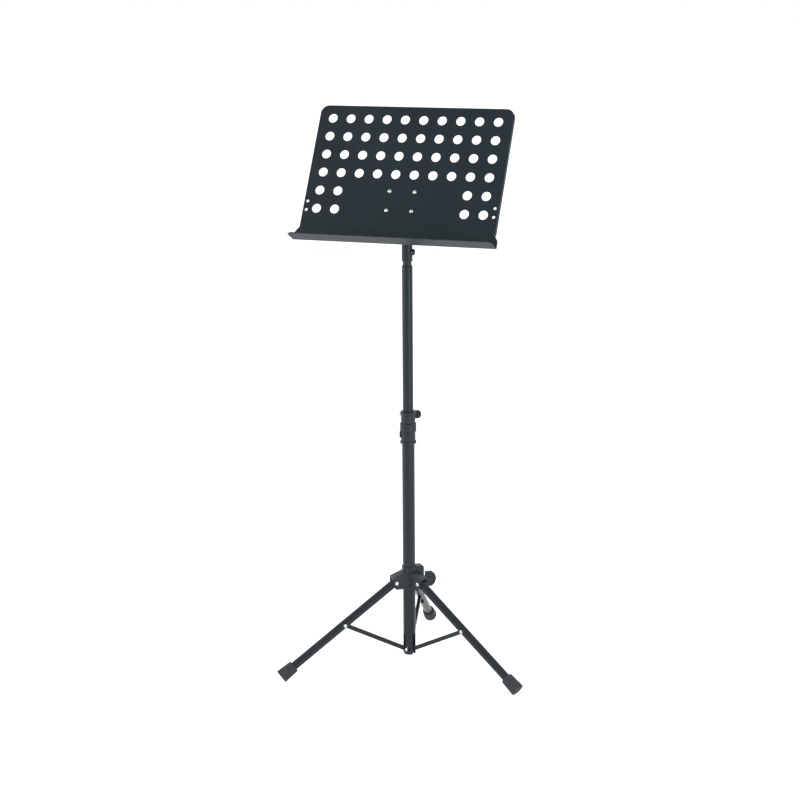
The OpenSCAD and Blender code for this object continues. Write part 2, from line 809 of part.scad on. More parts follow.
// pressed channel, open below, rounded at both ends
module brace(i) {
    inner_w = brace_w - 2 * brace_wall;
    color(black_coat) along_brace(i) difference() {
        union() {
            translate([0, -brace_w / 2, -brace_h / 2]) cube([brace_len, brace_w, brace_h]);
            rod_y(-brace_w / 2, brace_w / 2, brace_h);
            translate([brace_len, 0, 0]) rod_y(-brace_w / 2, brace_w / 2, brace_h);
        }
        translate([brace_h / 2 + 2, -inner_w / 2, -brace_h / 2 - eps])
            cube([brace_len - brace_h - 4, inner_w, brace_h - brace_wall + eps]);
        rod_y(-brace_w, brace_w, anchor_pin_d + 2 * run_gap);
        translate([brace_len, 0, 0]) rod_y(-brace_w, brace_w, brace_pin_d + 2 * run_gap);
    }
}

// rivet through a leg on which its brace swings
module brace_pin(i) {
    half = leg_d / 2 + 0.4;
    color(zinc) along_leg(i) translate([brace_at, 0, 0]) {
        rod_y(-half, half, brace_pin_d);
        for (side = [-1, 1]) translate([0, side * half, 0]) rotate([0, 0, side * 90])
            dome_x(brace_pin_head_d, brace_pin_head_t);
    }
}

desk_plate();
desk_bracket();
bracket_screws();
bracket_nuts();
tilt_bolt();
tilt_nut();
tilt_washers();
tilt_head();
desk_post();
post_bush();
post_screw();
pole_spigot();
upper_tube();
guide_bush();
clutch_body();
clutch_liner();
clutch_bolt();
clutch_nut();
clutch_knob();
lower_tube();
pole_foot();
anchor_rivets();
hub_body();
hub_pins();
hub_nut();
hub_shoe();
hub_bolt();
hub_knob();
leg(0);  // leg_rear
leg(1);  // leg_left
leg(2);  // leg_right
foot(0);  // foot_rear
foot(1);  // foot_left
foot(2);  // foot_right
brace(0);  // brace_rear
brace(1);  // brace_left
brace(2);  // brace_right
brace_pin(0);  // pin_rear
brace_pin(1);  // pin_left
brace_pin(2);  // pin_right
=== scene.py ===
"""Looks of the folding music stand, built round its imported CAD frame.

Lengths are in mm unless a name or docstring says metres."""

import json
import math

import bmesh
import bpy
import numpy as np
from mathutils import Matrix, Vector


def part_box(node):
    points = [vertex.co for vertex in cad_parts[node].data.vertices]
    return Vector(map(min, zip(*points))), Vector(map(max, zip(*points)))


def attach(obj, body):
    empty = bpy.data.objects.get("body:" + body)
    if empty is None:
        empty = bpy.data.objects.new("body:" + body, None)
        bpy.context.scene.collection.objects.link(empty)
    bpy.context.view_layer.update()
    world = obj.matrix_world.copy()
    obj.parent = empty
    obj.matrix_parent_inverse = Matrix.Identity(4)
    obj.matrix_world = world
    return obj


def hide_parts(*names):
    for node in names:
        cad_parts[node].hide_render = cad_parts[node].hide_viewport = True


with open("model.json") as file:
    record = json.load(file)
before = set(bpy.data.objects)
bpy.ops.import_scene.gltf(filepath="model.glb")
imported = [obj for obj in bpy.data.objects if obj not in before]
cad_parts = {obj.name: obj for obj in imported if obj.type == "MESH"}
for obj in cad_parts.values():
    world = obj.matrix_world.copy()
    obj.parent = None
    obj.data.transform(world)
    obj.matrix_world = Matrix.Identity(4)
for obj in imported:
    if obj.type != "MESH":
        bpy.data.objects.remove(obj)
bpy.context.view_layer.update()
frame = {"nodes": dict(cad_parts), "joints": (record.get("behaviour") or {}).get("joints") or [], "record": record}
NODES = frame["nodes"]
JOINTS = {j["name"]: j for j in frame["joints"]}
MOUNTS = {m["name"]: m for m in frame["record"]["mounts"]}
MM = 0.001
LEGS = ("rear", "left", "right")

# ------------------------------------------------------------------ sizes, in mm
SHEET = 1.2
DESK_HALF = 237.0
DESK_TOP = 338.0
RIM_R = 2.6            # outer radius of the bend into the flange
FLANGE = 12.0
CORNER_R = 20.0
PITCH = 45.0
HOLE_R = 11.0
TOP_ROW = DESK_TOP - 33.5
SMALL_R = 3.5
SMALL_X = 227.5
SMALL_Z = (75.5, 96.5)
BAND_HALF = DESK_HALF + 9.0
SHELF_BEND_R = 2.0     # radius of the desk's front face into the shelf
SHELF_FRONT = -45.0
HEM = 6.0
CHAMFER = 8.0
TUBE_WALL = 1.5
LIP_R = 0.4            # rolled ends of the open tubes
NECK_R = 10.3
COLLAR_T = 4.0         # height of the neck's collar above the upper tube
FOOT_TIP = 352.0       # from the leg's hub pin to the tread
FOOT_LENGTH = 40.0
FOOT_LOW_R, FOOT_HIGH_R, FOOT_BORE_R = 14.5, 16.5, 10.05
GRIP_SHARES = (0.34, 0.46, 0.58)
GRIP_DEEP = 0.45
HEAD_D = 9.0           # every rivet head
BRACE_PIN_R, BRACE_PIN_HALF, BRACE_HEAD_AT, BRACE_HEAD_T = 2.5, 10.0, 10.4, 2.4
HUB_PIN_R, HUB_PIN_HALF, HUB_HEAD_T = 3.0, 13.0, 1.2
ANCHOR_OUT, ANCHOR_Z, ANCHOR_HALF, ANCHOR_HEAD_T = 11.0, 42.7, 9.6, 1.4
WELD_M = 2e-6          # points nearer than this, in metres, are one


# ------------------------------------------------------------------ placing
def unit(v):
    v = np.asarray(v, float)
    return v / np.linalg.norm(v)


def place(points, origin, x_axis, y_axis, z_axis):
    """Points in mm along three axes from an origin in metres, as points in metres in the row frame."""
    axes = np.array([x_axis, y_axis, z_axis], float)
    return np.asarray(origin, float) + MM * np.asarray(points, float) @ axes


def along(axis, origin_m):
    """A placer whose z runs along axis from origin_m; its x is level where it can be."""
    z = unit(axis)
    side = np.cross([0, 0, 1], z)
    x = unit(side) if np.linalg.norm(side) > 1e-6 else np.array([1.0, 0, 0])
    return lambda p: place(p, origin_m, x, np.cross(z, x), z)


DESK_NORMAL = np.array(MOUNTS["desk_face"]["axis"], float)
DESK_UP = np.array([0.0, DESK_NORMAL[2], -DESK_NORMAL[1]])
DESK_FACE_UP_MM = 60.0  # the desk_face mount lies this far up the desk
DESK_ORIGIN = np.array(MOUNTS["desk_face"]["pos_m"], float) - MM * DESK_FACE_UP_MM * DESK_UP


def on_desk(p):
    """Desk coordinates: x across, y back from the front face, z up the slope from the shelf bend."""
    return place(p, DESK_ORIGIN, (1, 0, 0), -DESK_NORMAL, DESK_UP)


# ------------------------------------------------------------------ meshes
def grid_faces(nu, nv, wrap=False):
    """Quads of an nu by nv grid of points, row by row; wrap joins the last column to the first."""
    cols = nv if wrap else nv - 1
    i, j = np.meshgrid(np.arange(nu - 1), np.arange(cols), indexing="ij")
    k = (j + 1) % nv
    quads = np.stack([i * nv + j, i * nv + k, (i + 1) * nv + k, (i + 1) * nv + j], -1)
    return quads.reshape(-1, 4)


class Shape:
    """Grids of points in mm gathered into one mesh."""

    def __init__(self):
        self.points, self.faces, self.count = [], [], 0

    def grid(self, p, wrap=False):
        p = np.asarray(p, float)
        self.faces.append(grid_faces(p.shape[0], p.shape[1], wrap) + self.count)
        self.points.append(p.reshape(-1, 3))
        self.count += p.shape[0] * p.shape[1]
        return self

    def add(self, other, placer=None):
        for p, f in zip(other.points, other.faces):
            start = f - f.min()
            self.faces.append(start + self.count)
            self.points.append(placer(p) if placer else p)
            self.count += len(p)
        return self


def linked(name, data):
    """A new object of a mesh, lamp or camera, in the scene."""
    made = bpy.data.objects.new(name, data)
    bpy.context.scene.collection.objects.link(made)
    return made


def welded(name, shape, placer=None):
    """Mesh object of a shape: doubles merged, faces turned outwards."""
    points = np.concatenate(shape.points)
    points = placer(points) if placer else points
    mesh = bpy.data.meshes.new(name)
    mesh.from_pydata(points.tolist(), [], np.concatenate(shape.faces).tolist())
    bm = bmesh.new()
    bm.from_mesh(mesh)
    bmesh.ops.remove_doubles(bm, verts=bm.verts, dist=WELD_M)
    bmesh.ops.dissolve_degenerate(bm, dist=1e-7, edges=bm.edges)
    bmesh.ops.recalc_face_normals(bm, faces=bm.faces)
    bm.to_mesh(mesh)
    bm.free()
    return linked(name, mesh)


def apply_modifiers(piece):
    """The mesh that the modifiers give takes the place of the piece's own."""
    bpy.context.view_layer.update()
    graph = bpy.context.evaluated_depsgraph_get()
    mesh = bpy.data.meshes.new_from_object(piece.evaluated_get(graph))
    piece.modifiers.clear()
    piece.data = mesh


def settled(piece, sharp_deg=40, bevel_mm=0.0, solid_mm=0.0):
    """Applies Solidify, Bevel and Weighted Normal, so the finished mesh is plain."""
    if solid_mm:
        solid = piece.modifiers.new("solid", "SOLIDIFY")
        solid.thickness = solid_mm * MM
        solid.offset = -1
        solid.use_even_offset = True
    if bevel_mm:
        bevel = piece.modifiers.new("bevel", "BEVEL")
        bevel.width = bevel_mm * MM
        bevel.segments = 2
        bevel.limit_method = "ANGLE"
        bevel.angle_limit = math.radians(sharp_deg)
        bevel.use_clamp_overlap = True
    if piece.modifiers:
        apply_modifiers(piece)
    piece.data.shade_smooth()
    piece.data.set_sharp_from_angle(angle=math.radians(sharp_deg))
    if bevel_mm:
        normal = piece.modifiers.new("weighted", "WEIGHTED_NORMAL")
        normal.keep_sharp = True
        apply_modifiers(piece)
    return piece


def finished(node, bevel_mm, sharp_deg=30):
    """A copy of a CAD node whose loose triangles are merged, flats made whole and edges rounded."""
    bm = bmesh.new()
    bm.from_mesh(NODES[node].data)
    bmesh.ops.remove_doubles(bm, verts=bm.verts, dist=WELD_M)
    bmesh.ops.dissolve_degenerate(bm, dist=1e-6, edges=bm.edges)
    bmesh.ops.dissolve_limit(bm, angle_limit=math.radians(1.0), verts=bm.verts, edges=bm.edges)
    mesh = bpy.data.meshes.new(node + "_finished")
    bm.to_mesh(mesh)
    bm.free()
    return settled(linked(node + "_finished", mesh), sharp_deg, bevel_mm)


def rounded_line(corners, steps=5):
    """Profile through (r, z, radius) corners, each corner turned by a tangent arc of that radius."""
    out = []
    pts = np.array([c[:2] for c in corners], float)
    for i, (r, z, rad) in enumerate(corners):
        if rad <= 0 or i in (0, len(corners) - 1):
            out.append([r, z])
            continue
        a = unit(pts[i - 1] - pts[i])
        b = unit(pts[i + 1] - pts[i])
        half = math.acos(max(-1, min(1, float(a @ b)))) / 2
        reach = rad / math.tan(half)
        centre = pts[i] + unit(a + b) * rad / math.sin(half)
        start, end = pts[i] + a * reach - centre, pts[i] + b * reach - centre
        t = np.linspace(0, 1, steps + 1)[:, None]
        arc = start * (1 - t) + end * t
        arc = arc / np.linalg.norm(arc, axis=1, keepdims=True) * rad
        out.extend((centre + arc).tolist())
    return np.array(out)


def turned(profile, n=96):
    """Surface of revolution: the point (r, z) of the profile goes round z as (r cos a, r sin a, z)."""
    profile = np.asarray(profile, float)
    a = np.linspace(0, 2 * math.pi, n, endpoint=False)
    r, z = profile[:, :1], profile[:, 1:]
    return Shape().grid(np.stack([r * np.cos(a), r * np.sin(a), z + 0 * a], -1), wrap=True)


def turned_tube(outer, inner, z0, z1):
    """Open tube: a closed loop of (r, z) with rounded lips, turned about z."""
    middle = (inner, (z0 + z1) / 2, 0)
    return turned(rounded_line([middle, (inner, z0, LIP_R), (outer, z0, LIP_R), (outer, z1, LIP_R),
                                (inner, z1, LIP_R), middle]))


# ------------------------------------------------------------------ shader maths
class Sock:
    """A shader socket that takes part in Python expressions."""

    def __init__(self, tree, socket):
        self.tree, self.socket = tree, socket

    def _math(self, operation, *values):
        return self.tree.node("ShaderNodeMath", *values, operation=operation)

    def __add__(self, other): return self._math("ADD", self, other)
    def __radd__(self, other): return self._math("ADD", other, self)
    def __sub__(self, other): return self._math("SUBTRACT", self, other)
    def __rsub__(self, other): return self._math("SUBTRACT", other, self)
    def __mul__(self, other): return self._math("MULTIPLY", self, other)
    def __rmul__(self, other): return self._math("MULTIPLY", other, self)

    def between(self, low, high):
        """0 below low, 1 above high, and a smooth step between them."""
        return self.tree.node("ShaderNodeMapRange", self, low, high, interpolation_type="SMOOTHSTEP")


class Finish:
    """A material and its node tree."""

    def __init__(self, name):
        self.material = bpy.data.materials.new(name)
        self.material.use_nodes = True
        self.nodes, self.links = self.material.node_tree.nodes, self.material.node_tree.links
        self.nodes.clear()

    def feed(self, target, value):
        if isinstance(value, Sock):
            self.links.new(value.socket, target)
        elif value is not None:
            target.default_value = value

    def node(self, kind, *values, out=0, named=None, **settings):
        """Any node: its settings first, then its inputs in order or by name; gives one output."""
        made = self.nodes.new(kind)
        for key, value in settings.items():
            setattr(made, key, value)
        for target, value in zip(made.inputs, values):
            self.feed(target, value)
        for key, value in (named or {}).items():
            self.feed(made.inputs[key], value)
        return Sock(self, made.outputs[out])

    def place(self, scale=(1, 1, 1)):
        """Object coordinates, stretched."""
        coords = self.node("ShaderNodeTexCoord", out=3)
        return self.node("ShaderNodeMapping", coords, named={"Scale": scale})

    def noise(self, per_metre, detail=3.0, rough=0.5, scale=(1, 1, 1)):
        return self.node("ShaderNodeTexNoise", named={"Vector": self.place(scale), "Scale": per_metre,
                                                      "Detail": detail, "Roughness": rough})

    def cells(self, per_metre):
        return self.node("ShaderNodeTexVoronoi", named={"Vector": self.place(), "Scale": per_metre})

    def mix(self, factor, a, b):
        made = self.nodes.new("ShaderNodeMix")
        made.data_type = "RGBA"
        self.feed(made.inputs["Factor"], factor)
        self.feed(made.inputs[6], a if isinstance(a, Sock) else (*a, 1))
        self.feed(made.inputs[7], b if isinstance(b, Sock) else (*b, 1))
        return Sock(self, made.outputs[2])

    def bump(self, height, strength, distance_mm):
        return self.node("ShaderNodeBump", named={"Height": height, "Strength": strength,
                                                  "Distance": distance_mm * MM})

    def surface(self, **sockets):
        named = {key.replace("_", " "): value for key, value in sockets.items()}
        shader = self.node("ShaderNodeBsdfPrincipled", named=named)
        out = self.nodes.new("ShaderNodeOutputMaterial")
        self.links.new(shader.socket, out.inputs["Surface"])
        return self.material


def powder_coat(name, deep, pale, gloss, shine):
    """Fine textured black coat: grains of about half a millimetre over a slow change of shade."""
    f = Finish(name)
    slow = f.noise(9, 2)
    grain = f.noise(1900, 2, 0.6)
    pimples = f.cells(1300)
    dust = f.noise(240, 4, 0.65).between(0.62, 0.8)
    shade = f.mix(slow.between(0.3, 0.7), deep, pale)
    shade = f.mix(grain.between(0.45, 0.75) * 0.35, shade, tuple(1.9 * c for c in pale))
    shade = f.mix(dust * 0.10, shade, (0.12, 0.13, 0.13))
    height = grain * 0.6 + pimples * 0.5
    return f.surface(Base_Color=shade, Roughness=gloss + 0.10 * grain + 0.08 * dust,
                     Specular_IOR_Level=shine, Normal=f.bump(height, 0.35, 0.06))


def moulded_plastic(name, deep, pale):
    """ABS with the fine spark texture of its mould, a little polished where it is handled."""
    f = Finish(name)
    slow = f.noise(30, 3)
    spark = f.cells(2100)
    grain = f.noise(1500, 3, 0.6)
    worn = f.noise(70, 4, 0.6).between(0.55, 0.75)
    shade = f.mix(slow.between(0.3, 0.7), deep, pale)
    shade = f.mix(spark.between(0.2, 0.9) * 0.3, shade, tuple(1.8 * c for c in pale))
    return f.surface(Base_Color=shade, Roughness=0.40 + 0.12 * grain - 0.10 * worn,
                     Specular_IOR_Level=0.32, Normal=f.bump(spark * 0.7 + grain * 0.4, 0.30, 0.05))


def foot_rubber(name):
    """Matt rubber with pores; the tread end is scuffed and holds brown dust from the floor."""
    f = Finish(name)
    height = f.node("ShaderNodeSeparateXYZ", f.node("ShaderNodeTexCoord", out=3), out=2)
    blotch = f.noise(160, 4, 0.6)
    pores = f.cells(900)
    scuff = (1 - height.between(0.002, 0.016)) * blotch.between(0.35, 0.65)
    shade = f.mix(blotch.between(0.3, 0.7), (0.030, 0.038, 0.043), (0.052, 0.060, 0.064))
    shade = f.mix(scuff * 0.75, shade, (0.105, 0.085, 0.075))
    return f.surface(Base_Color=shade, Roughness=0.70 + 0.15 * blotch, Specular_IOR_Level=0.35,
                     Normal=f.bump(pores * 0.5 + blotch * 0.5, 0.45, 0.12))


def zinc_plate(name):
    """Zinc-plated steel: fine turning lines, a cloudy plating and a few duller spots."""
    f = Finish(name)
    cloud = f.noise(210, 4, 0.6)
    lines = f.noise(5200, 2, 0.5)
    shade = f.mix(cloud.between(0.3, 0.75), (0.60, 0.62, 0.63), (0.42, 0.44, 0.45))
    return f.surface(Base_Color=shade, Metallic=1.0, Roughness=0.20 + 0.22 * cloud,
                     Normal=f.bump(lines, 0.12, 0.02))


def washer_fibre(name):
    """Pressed fibre: short dark threads in a grey ground."""
    f = Finish(name)
    threads = f.noise(900, 4, 0.7, (1, 1, 0.25))
    shade = f.mix(threads.between(0.4, 0.62), (0.045, 0.048, 0.05), (0.14, 0.135, 0.125))
    return f.surface(Base_Color=shade, Roughness=0.78 + 0.1 * threads, Normal=f.bump(threads, 0.4, 0.08))


DESK_COAT = powder_coat("desk_powder_coat", (0.0062, 0.0140, 0.0190), (0.0095, 0.0185, 0.0245), 0.42, 0.22)
TUBE_COAT = powder_coat("tube_powder_coat", (0.0060, 0.0125, 0.0165), (0.0095, 0.0170, 0.0215), 0.28, 0.30)
ABS = moulded_plastic("moulded_abs", (0.0090, 0.0155, 0.0190), (0.0150, 0.0225, 0.0260))
RUBBER = foot_rubber("foot_rubber")
ZINC = zinc_plate("zinc_plated_steel")
FIBRE = washer_fibre("pressed_fibre")


def fitted(piece, material, body, *nodes):
    """Gives a finished piece its material and body, and hides the CAD nodes it stands for."""
    piece.data.materials.clear()
    piece.data.materials.append(material)
    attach(piece, body)
    if nodes:
        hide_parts(*nodes)


# ------------------------------------------------------------------ desk
FLAT_HALF, FLAT_TOP = DESK_HALF - RIM_R, DESK_TOP - RIM_R
ARC_R = CORNER_R - RIM_R
BAND_TOP = 33.0
CELL_X = tuple(PITCH * k for k in range(-4, 5))
CELL_Z = tuple(57 + PITCH * k for k in range(6))
BLANK_ROWS, BLANK_COLUMNS = 2, range(2, 8)
SMALL_CELL_X, SMALL_CELL_Z = 219.0, 87.0
X_BREAKS = (-FLAT_HALF, -SMALL_CELL_X, *CELL_X, SMALL_CELL_X, FLAT_HALF)
Z_BREAKS = (BAND_TOP, CELL_Z[0], SMALL_CELL_Z, *CELL_Z[1:], FLAT_TOP - ARC_R, FLAT_TOP)
STEP = 3.75


def stations(low, high, breaks):
    """Points from low to high, about STEP apart, that neighbours share because they stop at every break."""
    stops = [low] + [b for b in breaks if low < b < high] + [high]
    runs = [np.linspace(a, b, max(1, round((b - a) / STEP)) + 1)[:-1] for a, b in zip(stops, stops[1:])]
    return np.concatenate(runs + [[high]])


def flat_box(x0, x1, z0, z1):
    """Outline of a rectangle through its stations, anticlockwise, without a repeated corner."""
    xs, zs = stations(x0, x1, X_BREAKS), stations(z0, z1, Z_BREAKS)
    return np.concatenate([np.c_[xs[:-1], 0 * xs[:-1] + z0], np.c_[0 * zs[:-1] + x1, zs[:-1]],
                           np.c_[xs[:0:-1], 0 * xs[1:] + z1], np.c_[0 * zs[1:] + x0, zs[:0:-1]]])


def corner_arc():
    """The flat face's right top corner, from its side to its top."""
    a = np.linspace(0, math.pi / 2, 9)
    return np.c_[FLAT_HALF - ARC_R + ARC_R * np.cos(a), FLAT_TOP - ARC_R + ARC_R * np.sin(a)]


def corner_box(x0, z0):
    """Outline of the right top corner cell."""
    arc = corner_arc()
    xs, zs = stations(x0, FLAT_HALF, X_BREAKS), stations(z0, arc[0, 1], Z_BREAKS)
    tops = stations(x0, arc[-1, 0], X_BREAKS)
    sides = stations(z0, FLAT_TOP, Z_BREAKS)
    return np.concatenate([np.c_[xs[:-1], 0 * xs[:-1] + z0],
                           np.c_[0 * zs[:-1] + FLAT_HALF, zs[:-1]],
                           arc[:-1],
                           np.c_[tops[:0:-1], 0 * tops[1:] + FLAT_TOP],
                           np.c_[0 * sides[1:] + x0, sides[:0:-1]]])


def pierced(outline, centre, radius):
    """Cell with a round hole: each outline point p and the hole's edge point toward it,
    c + radius (p - c)/|p - c|, are joined by a line that runs with t from 0 to 1."""
    ray = outline - centre
    ring = centre + radius * ray / np.linalg.norm(ray, axis=1, keepdims=True)
    t = np.array([0, 0.12, 0.45, 1])[:, None, None]
    return ring * (1 - t) + outline * t


def face_grid(p):
    """A flat grid of (x, z) as points of the desk's front face."""
    return np.dstack([p[..., 0], 0 * p[..., 0], p[..., 1]])


def mirrored(outline):
    """The same outline on the other side of the desk, still anticlockwise."""
    return (outline * [-1, 1])[::-1]


def cell_outline(r, c, x0, x1, z0, z1):
    """Outline of one hole's cell: side cells stop short of the small holes and follow the top corners."""
    if 0 < c < len(CELL_X):
        return flat_box(x0, x1, z0, z1)
    if r == len(CELL_Z) - 1:
        right = corner_box(CELL_X[-1], z0)
    else:
        right = flat_box(CELL_X[-1], FLAT_HALF if r else SMALL_CELL_X, z0, z1)
    return right if c else mirrored(right)


def desk_skin():
    """Front skin of the folded sheet: pierced cells, blank middle, rim and flange, flared band and shelf."""
    skin = Shape()
    columns = (-FLAT_HALF, *CELL_X, FLAT_HALF)
    top_row = len(CELL_Z) - 1
    for r, (z0, z1) in enumerate(zip(CELL_Z, (*CELL_Z[1:], FLAT_TOP))):
        for c, (x0, x1) in enumerate(zip(columns, columns[1:])):
            if r < BLANK_ROWS and c in BLANK_COLUMNS:
                continue
            hole = np.array([(c - len(CELL_X) / 2) * PITCH, TOP_ROW - (top_row - r) * PITCH])
            skin.grid(face_grid(pierced(cell_outline(r, c, x0, x1, z0, z1), hole, HOLE_R)), wrap=True)
    floors = (CELL_Z[0], SMALL_CELL_Z, CELL_Z[1])
    for z0, z1, hole_z in zip(floors, floors[1:], SMALL_Z):
        box = flat_box(SMALL_CELL_X, FLAT_HALF, z0, z1)
        skin.grid(face_grid(pierced(box, np.array([SMALL_X, hole_z]), SMALL_R)), wrap=True)
        skin.grid(face_grid(pierced(mirrored(box), np.array([-SMALL_X, hole_z]), SMALL_R)), wrap=True)
    xs = stations(CELL_X[1], CELL_X[-2], X_BREAKS)
    zs = stations(CELL_Z[0], CELL_Z[BLANK_ROWS], Z_BREAKS)
    skin.grid(face_grid(np.stack(np.meshgrid(xs, zs), -1)))
    xs = stations(-FLAT_HALF, FLAT_HALF, X_BREAKS)
    zs = stations(BAND_TOP, CELL_Z[0], Z_BREAKS)
    skin.grid(face_grid(np.stack(np.meshgrid(xs, zs), -1)))
    skin.grid(rim_strip())
    skin.grid(lower_strip(xs))
    return skin


def rim_strip():
    """Bend and flange carried along the outline: at angle a the skin is RIM_R sin a outside the flat face
    and RIM_R (1 - cos a) behind it, then it runs straight back to the flange's depth."""
    zs = stations(BAND_TOP, FLAT_TOP - ARC_R, Z_BREAKS)
    side = np.c_[0 * zs + FLAT_HALF, zs]
    arc = corner_arc()
    top = stations(-(FLAT_HALF - ARC_R), FLAT_HALF - ARC_R, X_BREAKS)[::-1]
    turn = np.linspace(0, math.pi / 2, 9)
    path = np.concatenate([side[:-1], arc[:-1], np.c_[top, 0 * top + FLAT_TOP],
                           mirrored(arc)[1:], mirrored(side)[1:]])
    out = np.concatenate([np.tile([1.0, 0], (len(side) - 1, 1)), np.c_[np.cos(turn), np.sin(turn)][:-1],
                          np.tile([0, 1.0], (len(top), 1)), np.c_[-np.sin(turn), np.cos(turn)][1:],
                          np.tile([-1.0, 0], (len(side) - 1, 1))])
    a = np.linspace(0, math.pi / 2, 7)
    away = np.concatenate([RIM_R * np.sin(a), [RIM_R] * 2])
    back = np.concatenate([RIM_R * (1 - np.cos(a)), [7.0, FLANGE]])
    flat = path + out * away[:, None, None]
    return np.dstack([flat[..., 0], back[:, None] + 0 * flat[..., 0], flat[..., 1]])


def lower_strip(xs):
    """Band, bend and shelf carried down and forward: each row widens the stations to its half width."""
    zs = np.array([BAND_TOP, 31.5, 30, 27, 24, 22, 20.5, 19, 17, 10, 5.5])
    half = np.interp(zs, [17, 21, 31.8, BAND_TOP], [BAND_HALF, BAND_HALF - 1, DESK_HALF, FLAT_HALF])
    a = np.linspace(0, math.pi / 2, 7)
    bend_y = -SHELF_BEND_R + SHELF_BEND_R * np.cos(a)
    bend_z = SHEET + SHELF_BEND_R - SHELF_BEND_R * np.sin(a)
    deep = np.array([-6, -14, -22, -30, SHELF_FRONT + CHAMFER, -40, SHELF_FRONT + 1])
    y = np.concatenate([0 * zs, bend_y, deep])
    z = np.concatenate([zs, bend_z, 0 * deep + SHEET])
    cut_in = np.clip(SHELF_FRONT + CHAMFER - deep, 0, None)
    w = np.concatenate([half, 0 * a + BAND_HALF, BAND_HALF - cut_in])
    across = xs / FLAT_HALF
    return np.dstack([w[:, None] * across, y[:, None] + 0 * across, z[:, None] + 0 * across])


def hem():
    """Hem folded over the shelf's front edge: a flat loop with a round nose, carried across and closed
    at its ends. It is a hair thicker than two sheets."""
    hair = 0.06
    low, high = -hair, 2 * SHEET + hair
    nose = math.pi * np.linspace(-0.5, 0.5, 9)
    r = (high - low) / 2
    y = np.concatenate([[SHELF_FRONT + HEM], SHELF_FRONT + r - r * np.cos(nose), [SHELF_FRONT + HEM]])
    z = np.concatenate([[low], (low + high) / 2 + r * np.sin(nose), [high]])
    loop = np.c_[y, z]
    ends = BAND_HALF - CHAMFER
    xs = np.array([-ends, -ends, -ends / 2, 0, ends / 2, ends, ends])
    size = np.array([0, 1, 1, 1, 1, 1, 0])[:, None, None]
    section = loop.mean(0) + (loop - loop.mean(0)) * size
    across = xs[:, None] + 0 * section[..., 0]
    return Shape().grid(np.dstack([across, section[..., 0], section[..., 1]]), wrap=True)


def face_forward(piece, normal):
    """Turns an open skin so that most of its area faces along a normal."""
    total = sum((p.normal * p.area for p in piece.data.polygons), Vector())
    if total.dot(Vector(normal)) < 0:
        piece.data.flip_normals()


def make_desk():
    skin = welded("desk_sheet", desk_skin(), on_desk)
    face_forward(skin, DESK_NORMAL)
    settled(skin, 50, 0.22, SHEET)
    fitted(skin, DESK_COAT, "desk", "desk_plate")
    fold = settled(welded("shelf_hem", hem(), on_desk), 45, 0.2)
    fitted(fold, DESK_COAT, "desk")


make_desk()


# ------------------------------------------------------------------ pole
def box_mm(node):
    """Lowest and highest corner of a CAD node, in mm."""
    low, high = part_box(node)
    return np.array(low) / MM, np.array(high) / MM


def upright(p):
    """A placer that leaves points where they stand, in metres."""
    return np.asarray(p, float) * MM


def make_tubes():
    """Upper tube and desk post: open tubes with rolled lips, at their CAD places."""
    for node, body in (("upper_tube", "mast"), ("desk_post", "post")):
        low, high = box_mm(node)
        r = (high[0] - low[0]) / 2
        tube = welded(node + "_turned", turned_tube(r, r - TUBE_WALL, low[2], high[2]), upright)
        fitted(settled(tube, 40), TUBE_COAT, body, node)


def make_neck():
    """Turned neck: a plug in the upper tube, a rounded collar, a waist and a plug in the post."""
    low, high = box_mm("pole_spigot")
    r = (high[0] - low[0]) / 2
    collar = box_mm("upper_tube")[1][2]
    post = box_mm("desk_post")[0][2]
    bore = r - TUBE_WALL - 0.1
    line = rounded_line([(0, low[2], 0), (bore, low[2], 0.6), (bore, collar, 0), (r, collar, 0.3),
                         (r, collar + COLLAR_T, 2.0), (NECK_R, collar + COLLAR_T + 0.1, 0.5),
                         (NECK_R, post + 0.3, 0), (bore - 0.1, post + 1.2, 0.3), (bore - 0.1, high[2], 1.5),
                         (0, high[2], 0)], 8)
    neck = welded("pole_neck", turned(line), upright)
    fitted(settled(neck, 35), ABS, "mast", "pole_spigot")


def on_leg(leg):
    """A placer whose z runs down a leg from its hub pin."""
    pin = np.array(JOINTS[f"leg_{leg}_fold"]["pos_m"], float)
    brace_pin = np.array(JOINTS[f"brace_{leg}_fold"]["pos_m"], float)
    return along(brace_pin - pin, pin)


def grip_groove(share):
    """Corners of one shallow groove that starts at a share of the cup's length."""
    wide, corner_r, flare = 0.05, 0.25, FOOT_HIGH_R - FOOT_LOW_R
    return [(FOOT_LOW_R + flare * at - deep, FOOT_TIP - FOOT_LENGTH * (1 - at), corner_r)
            for at, deep in ((share, 0), (share + wide / 2, GRIP_DEEP), (share + wide, 0))]


def make_feet():
    """Flared cups: a rolled lip, three shallow grip grooves and a rounded tread with a shallow dish."""
    top, dish = FOOT_TIP - FOOT_LENGTH, 0.8
    grooves = [corner for share in GRIP_SHARES for corner in grip_groove(share)]
    line = rounded_line([(FOOT_BORE_R, FOOT_TIP - 8, 0), (FOOT_BORE_R, top, 0.8), (FOOT_LOW_R, top, 1.6),
                         *grooves, (FOOT_HIGH_R, FOOT_TIP, 1.8), (FOOT_HIGH_R - 5, FOOT_TIP, 0.5),
                         (FOOT_HIGH_R - 6, FOOT_TIP - dish, 0.5), (0, FOOT_TIP - dish, 0)])
    for leg in LEGS:
        foot = welded(f"rubber_foot_{leg}", turned(line), on_leg(leg))
        fitted(settled(foot, 35), RUBBER, f"leg_{leg}", f"foot_{leg}")


def domed(d, t):
    """Rivet head: short rim, then an arc of rise t over the radius, closed at its pole."""
    rim = 0.25 * t
    a = np.linspace(0, math.pi / 2, 9)
    r = d / 2
    dome = np.c_[r * np.cos(a), rim + (t - rim) * np.sin(a)]
    return turned(np.concatenate([[[0, -0.3], [r, -0.3], [r, 0]], dome]), 48)


